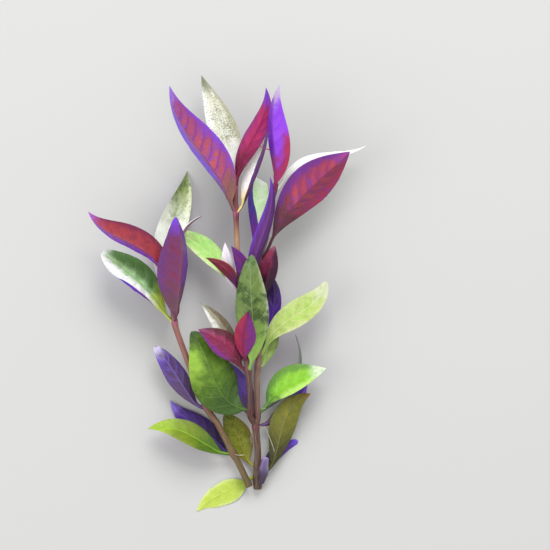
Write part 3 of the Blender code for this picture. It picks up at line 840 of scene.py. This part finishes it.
soft_green = leaf_face(
    "soft_green_above", "b0cc6c", heart="b8dc74", left="b4d070", right="90b050", foot="8cac4c",
    tip="a8c868", vein="c4dc94", veins=0.4, patch="7ca450", patches=0.3)
grow_leaf(R + "3", r2, 330, 19, 62, (1.5, 1.5), (9, 8, 7), 6.5, 10, 15,
          UPPER, soft_green)
light_green = leaf_face(
    "light_green_above", "c4d880", heart="b8dc6c", left="ccdc94", left_from=0.6, right="d4dca0",
    right_from=0.6, foot="a0cc54", foot_reach=0.2, tip="dce4c0", tip_start=0.78, vein="e0eca0",
    veins=0.5, rib="e8f0b0", ribs=0.5, patch="a4c058", patches=0.7, patch_grain=0.35)
grow_leaf(R + "4", r3, 0, 40.5, 48, (9.5, -7.3), (13.5, 13, 12), 12, -25, 15,
          UPPER, light_green, widest=0.52, blunt=0.35)
# Painted shade: this blade is dark, and darkest at its left margin and tip, for the shade it lies
# in behind the leaves in front of it; its foot is brighter blue-violet.
low_violet = leaf_face(
    "low_violet_below", "421c68", heart="341450", left="2c1040", right="4c1c84", foot="6434bc",
    foot_reach=0.62, tip="2c1440", tip_start=0.75, vein="50308c", veins=0.3)
grow_leaf(R + "5", r3, 332, 34, 83, (0, -6), (12, 10.5, 9), 6.9, 10, 15, UNDER,
          low_violet, widest=0.58)
grow_leaf(R + "6", r3, 270, 26.5, 97, (0, 0), (7, 4, 0), 12, 0, 12, UPPER,
          green_above)
tall_violet = leaf_face(
    "tall_violet_below", "5c2676", heart="682878", left="6c34b4", left_from=0.45, right="501860",
    foot="50285c", foot_reach=0.4, tip="6c34b4", vein="8448a8", veins=0.3)
grow_leaf(R + "7", r4, 110, 49.5, 84, (8, -7), (21, 24, 26), 6.5, 20, 25, UNDER,
          tall_violet)
crimson_half = leaf_face(
    "crimson_half_below", "88284c", heart="902c50", left="902c50", left_from=0.1, right="481838",
    right_from=0.0, foot="341430", foot_reach=0.7, tip="b47c94", tip_start=0.95, vein="6c1840",
    veins=0.3)
grow_leaf(R + "8", r4, 30, 23, 72, (0, 0.5), (17.2, 19, 19), 7.4, 0, 12, UNDER,
          crimson_half, widest=0.5, blunt=0.15)
# Painted light: this near-white face, made lighter by its value, stands for strong light on the
# upper face and makes up for the shade the leaves above cast on it.
mint = leaf_face(
    "mint_above", "eaf8de", heart="def4d0", left="f0f8ec", right="d4f0c4", foot="d0f0b8",
    tip="f4faf0", tip_start=0.9, vein="a4d494", veins=0.5, patch="b0e098", patches=0.5, value=0.8)
grow_leaf(R + "9", r5, 165, 34.5, 93, (-2, 6), (12, 10, 8), 18, 45, 52, UPPER,
          mint, blue_violet_below, widest=0.64, blunt=0.85, twist=60)
wide_red = leaf_face(
    "wide_red_below", "902c60", heart="c84a4c", hearts=0.8, left="702c8c", left_from=0.45,
    right="b03458", right_from=0.4, foot="50303c", foot_reach=0.5, tip="90389c", tip_start=0.92,
    vein="b85870", veins=0.3, rib="702448", ribs=0.6, patch="6a34b8", patches=0.4,
    patch_grain=0.3, patch_cover=0.5, right_after=0.22)
grow_leaf(R + "10", r5, 5, 57, 50.5, (9, 2.5), (19.5, 24, 25), 18.8, 18, 27, UNDER,
          wide_red, widest=0.54, stalk=0.17)
grow_leaf(R + "11", r5, 290, 24, 83, (0.5, 0), (9, 4, 0), 5, 0, 12, UPPER,
          green_above)
bright_violet = leaf_face(
    "bright_violet_below", "9c48f0", heart="ac5cf8", left="8034cc", left_from=0.0, right="b83464",
    right_from=0.3, foot="b03058", foot_reach=0.36, tip="d8c0e8", tip_start=0.84, vein="6c2cb4",
    veins=0.4, rib="7c2480", ribs=0.5, hearts=0.3, right_until=0.52)
grow_leaf(R + "12", r6, 90, 42, 87, (-2, 6), (27, 30.2, 30.2), 13, -30, 40, UNDER,
          bright_violet, widest=0.4)
grow_leaf(R + "13", r6, 0, 41, 26, (13, -1.6), (15, 12, 10), 7.6, -65, 12, UPPER,
          white_above, white_above, widest=0.37)

# Leaves of the left branch
# The left branch has the other of the two longest leaves, orange-red with violet margins whose
# brightness is partly painted glow. More long leaves stand round its tip, short red ones and ones
# painted white for strong light below them, and broad green ones low.
L = "left_branch_leaf_"
l1, l2, l3, l4, l5, l6 = joint_of(LEFT_BRANCH, LEFT_BRANCH_JOINTS, BRANCH_RADIUS)
# Painted light and shade: the light green on the left margin, part way up, is a painted lit
# shoulder, and the dark green tip is the curled tip in painted shade.
broad_green = leaf_face(
    "broad_green_below", "52741c", heart="5c8020", left="a0cc48", left_from=0.1, right="446020",
    right_from=0.5, foot="3c5c24", foot_reach=0.42, tip="34501c", tip_start=0.86, vein="8cac44",
    veins=0.3, rib="7c9c44", ribs=0.4, patch="84ac38", patches=0.35, patch_grain=0.4,
    left_after=0.52, left_until=0.82)
grow_leaf(L + "1", l1, 170, 39.5, 127, (9.6, -2.2), (14.5, 17, 15.5), 19.2, 5, 15,
          UNDER, broad_green, widest=0.4, stalk=0.03, blunt=0.35, ripple=1.1)
patched_green = leaf_face(
    "patched_green_below", "78904a", heart="6c8440", left="688448", right="b8c8a0",
    right_from=0.6, foot="90b850", foot_reach=0.45, tip="78945c", vein="a8c080", veins=0.35,
    rib="a4bc7c", ribs=0.4, patch="34501c", patches=0.9, patch_grain=0.22, patch_cover=0.6)
grow_leaf(L + "2", l2, 70, 46.5, 88, (-3, 1.7), (21, 24, 26), 13.8, 0, 15, UNDER,
          patched_green, blunt=0.35)
crimson_violet = leaf_face(
    "crimson_violet_below", "942858", heart="a03458", left="883494", left_from=0.4,
    right="541828", right_from=0.2, foot="5c2030", foot_reach=0.3, tip="8c3878", vein="cc6480",
    veins=0.35, rib="8c2c48", ribs=0.4, hearts=0.5, patch="6c2048", patches=0.5)
grow_leaf(L + "3", l2, 165, 26, 140, (-4.6, -3.2), (19.5, 21, 20.5), 10.8, 0, 20,
          UNDER, crimson_violet)
two_tone_crimson = leaf_face(
    "two_tone_crimson_below", "a02a60", left="b02a50", left_from=0.1, right="84308c",
    right_from=0.05, foot="8c2858", foot_reach=0.2, tip="481458", tip_start=0.9, vein="781c58",
    veins=0.35, patch="8c2450", patches=0.4, patch_grain=0.35)
grow_leaf(L + "4", l3, 110, 20, 88, (2, 1.5), (22, 26, 29), 10, -15, 25, UNDER,
          two_tone_crimson, widest=0.42)
# Painted highlight: the near-white left half stands for strong light falling on the upper face.
white_and_olive = leaf_face(
    "white_and_olive_above", "b0a894", left="f0f0e8", left_from=0.1, right="6c5c44",
    right_from=0.1, foot="74604c", foot_reach=0.3, tip="98a090", vein="dcdccc", veins=0.2,
    rib="8c7c64", ribs=0.3, patch="8c8c6c", patches=0.4)
grow_leaf(L + "5", l3, 190, 30, 129, (-1.5, -2), (15.5, 14.5, 13), 6.8, 10, 20,
          UPPER, white_and_olive)
wine_red = leaf_face(
    "wine_red_below", "741830", heart="7c1c34", right="b85c44", right_from=0.7, foot="4a1850",
    foot_reach=0.4, tip="741830", vein="741430", veins=0.35)
grow_leaf(L + "6", l4, 120, 19, 137, (-4, -2.5), (23, 23.5, 22.5), 5, -20, 15, UNDER,
          wine_red, widest=0.42)
# Painted highlight: the near-white of this face, made lighter by its value, stands for strong light
# on the upper face.
lilac_white = leaf_face(
    "lilac_white_above", "f0e8f2", left="f0e8f0", right="d4c4dc", foot="c8b4c4", tip="f0e8f4",
    vein="d4c8d8", veins=0.25, patch="ccc0c8", patches=0.3, value=0.62)
grow_leaf(L + "7", l4, 155, 20, 108, (1, 0.8), (20, 19.5, 19), 5.2, -10, 10, UPPER,
          lilac_white)
plum = leaf_face(
    "plum_below", "6a2080", heart="742468", left="5c1c78", right="6c248c", foot="4c1850",
    tip="6c2c90", vein="501860", veins=0.3)
grow_leaf(L + "8", l4, 60, 18, 102, (-3.5, -3), (22.5, 23.5, 24), 6, 10, 20,
          UNDER, plum)
fresh_green = leaf_face(
    "fresh_green_above", "c4f088", heart="b0e878", left="e0f0b0", left_from=0.55, right="b0e080",
    foot="9cd468", foot_reach=0.25, tip="d8f0a4", tip_start=0.8, vein="d4f4b0", veins=0.4,
    rib="dcf4b4", ribs=0.4, patch="88e060", patches=0.5)
grow_leaf(L + "9", l4, 215, 34.5, 137.2, (-3.6, -3.8), (14, 10, 6.5), 9.4, 20, 15,
          UPPER, fresh_green, widest=0.55, blunt=0.3)
# Partly painted light: the blue-violet margins are the underside's own colour made brighter, as a
# painted glow of light through the rim.
orange_hearted = leaf_face(
    "orange_hearted_below", "9c4690", heart="c65a48", hearts=0.9, left="9266f4", left_from=0.2,
    right="8648dc", right_from=0.6, foot="8c6050", foot_reach=0.25, tip="9c78e8", tip_start=0.88,
    vein="642060", veins=0.6, rib="7c3488", ribs=0.4, right_after=0.28, patch="8450c8",
    patches=0.5, patch_grain=0.5)
grow_leaf(L + "10", l5, 130, 57, 117.5, (-6.5, 8), (24, 28, 30), 18, -36, 36, UNDER,
          orange_hearted, widest=0.42)
# Painted highlight: the near-white of this face, made lighter still by its value, stands for strong
# light on the upper face; the foot is yellow.
yellow_footed_white = leaf_face(
    "yellow_footed_white_above", "fcf6f6", left="fcf8fa", right="fcf4fa", foot="e0c870",
    foot_reach=0.3, tip="f4ecf4", vein="ece4ea", veins=0.2, ribs=0.2, value=0.7)
grow_leaf(L + "11", l5, 45, 40, 71, (-1, -4.5), (20, 18.5, 18), 13, -67, 35, UPPER,
          yellow_footed_white)
grow_leaf(L + "12", l5, 240, 18, 97, (0, 0), (12, 5, 0), 5, 0, 12, UPPER,
          green_above)
# Painted highlight: the near-white field, left margin and foot stand for strong light falling on
# the upper face.
pale_mottled = leaf_face(
    "pale_mottled_above", "e2e2cc", heart="f0f0e4", left="fcfcf8", left_from=0.25, right="a8a88c",
    right_from=0.45, foot="fffcfe", foot_reach=0.42, tip="7c8064", tip_start=0.82, vein="f0f2e4",
    veins=0.15, patch="7c8060", patches=0.8, patch_grain=1.7, value=0.6)
grow_leaf(L + "13", l6, 200, 47, 107, (-5.5, -1.2), (18, 14, 10), 13, 10, 18, UPPER,
          pale_mottled, widest=0.36)
crimson_hearted = leaf_face(
    "crimson_hearted_below", "a8286a", heart="bc2c5c", left="8c3080", left_from=0.6,
    right="98286c", foot="6a1030", foot_reach=0.4, tip="7a38c8", tip_start=0.84, vein="781c54",
    veins=0.4, rib="7c1848", ribs=0.5, hearts=0.7)
grow_leaf(L + "14", l6, 60, 41.5, 73, (6, -7.3), (23.5, 23.5, 22.5), 8.4, -8, 20,
          UNDER, crimson_hearted)

# Roots
# Fine white roots grow out of the left stem and round the fork, and a dark red one hangs between
# two leaves high up. They are living threads, at most half a millimetre thick, and thin to the
# tip.
ROOT_STEP = 0.3
ROOT_SIDES = 10
ROOT_TIP_SHARE = 0.35


def fine_root_tree():
    """A root along a line of points: a tube that thins towards its tip, closed at both ends."""
    tree, given = new_shape_tree("Fine root", {
        "Thickness": 0.4 * MM, "Tip share": ROOT_TIP_SHARE, "Step": ROOT_STEP * MM,
        "Sides": ROOT_SIDES, "Skin": None})
    line = smooth_line(given, given["Step"])
    gone = add_node(tree, "GeometryNodeSplineParameter")
    radius = given["Thickness"] * 0.5 * (1 - gone * (1 - given["Tip share"]))
    line = keep(line, "lengthways", gone)
    ring = add_node(tree, "GeometryNodeCurvePrimitiveCircle", given["Sides"], 1.0)
    tube = add_node(tree, "GeometryNodeCurveToMesh", line, ring, radius, True)
    tube = add_node(tree, "GeometryNodeSetShadeSmooth", tube, None, True)
    tube = add_node(tree, "GeometryNodeRealizeInstances", tube)
    end_tree(tree, add_node(tree, "GeometryNodeSetMaterial", tube, None, given["Skin"]))
    return tree


def root_skin(name, foot, tip):
    """A root's thin wet skin, from its colour where it grows out to the colour of its tip."""
    surface, tree, shader = new_surface(name)
    grain = noise(tree, add_node(tree, "ShaderNodeTexCoord", output="Object"), 900.0, 3.0)
    shade = mix_colours(tree, kept_on_piece(tree, "lengthways"), paint(foot), paint(tip))
    shade = add_node(tree, "ShaderNodeHueSaturation", 0.5, 1.0, grain * 0.6 + 0.7, 1.0, shade)
    tree.links.new(shade.socket, shader.inputs["Base Color"])
    set_inputs(shader, {"Roughness": 0.35})
    return surface


def grow_root(name, route, thickness, skin):
    """One root along its route. It stands for no solid."""
    piece = made_by(root_tree, name, line_along(name, route), {
        "Thickness": thickness * MM, "Skin": skin})
    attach(piece, "root")


root_tree = fine_root_tree()
white_root = root_skin("white_root", "8c7c64", "e4dcd4")
red_root = root_skin("red_root", "8c1c40", "a83460")
grow_root("left_stem_root", [
    (2.2, -64.4, 5.2), (3.4, -65.0, 6.0), (5.0, -65.2, 6.4), (6.4, -65.0, 6.4)], 0.42, white_root)
grow_root("main_stem_root", [
    (11.6, -53.8, 7.6), (13.2, -53.6, 8.8), (14.8, -54.2, 9.5), (16.2, -57.0, 9.8),
    (17.5, -60.2, 9.6), (18.6, -63.6, 9.0)], 0.34, white_root)
grow_root("main_stem_root_hair_1", [
    (9.6, -50.6, 8.4), (8.7, -52.6, 7.8), (8.6, -54.4, 7.0), (9.4, -56.4, 6.2)], 0.3, white_root)
grow_root("main_stem_root_hair_2", [
    (9.9, -56.0, 6.8), (9.1, -57.8, 6.2), (9.4, -60.2, 5.6)], 0.26, white_root)
grow_root("right_branch_root_hair", [
    (12.6, -46.6, 8.8), (13.8, -46.2, 9.4), (15.0, -46.4, 9.6)], 0.28, white_root)
grow_root("right_branch_root", [
    (16.9, 57.0, 27.6), (15.2, 57.4, 26.6), (13.4, 58.2, 25.0), (11.4, 58.6, 23.2)], 0.5, red_root)
